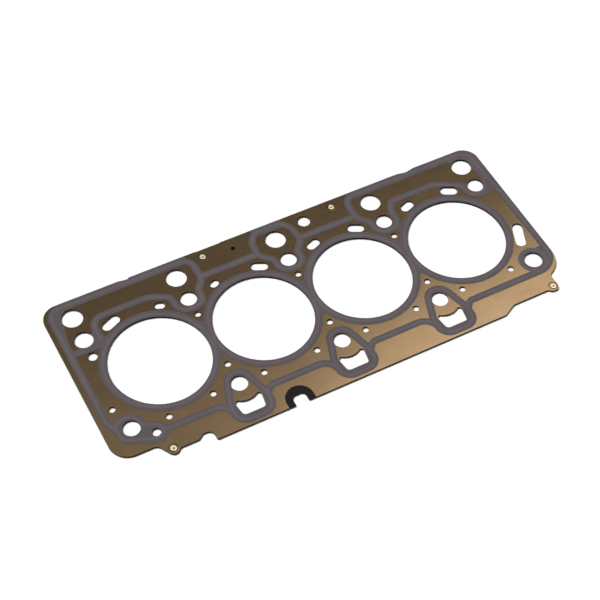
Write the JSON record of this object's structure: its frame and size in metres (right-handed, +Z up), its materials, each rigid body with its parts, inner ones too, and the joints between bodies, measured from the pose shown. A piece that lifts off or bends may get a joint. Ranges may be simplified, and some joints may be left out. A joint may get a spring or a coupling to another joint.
{
  "type": "cylinder head gasket",
  "caption": "Multi-layer steel cylinder head gasket for an in-line engine: beaded coated sheets round a spacer, printed sealing tracks, hollow rivets and a rubber-lined notch.",
  "frame": {"origin": "middle of the bore row on the face that lies on the engine block", "axes": "+X along the row of bores, +Y towards the side with the round oil returns, +Z up towards the cylinder head"},
  "size_m": [0.3918, 0.164, 0.0019],
  "materials": {
    "coated_sheet": "semi-gloss",
    "bare_steel": "satin",
    "seal_print": "matte",
    "rubber": "matte",
    "brass": "bright"
  },
  "bodies": {
    "root": {"lower_seal_print": "seal_print", "lower_active_layer": "coated_sheet", "core_layer": "bare_steel", "stopper_rings": "bare_steel", "upper_active_layer": "coated_sheet", "upper_seal_print": "seal_print", "notch_seal": "rubber", "rivets": "brass"}
  },
  "joints": []
}
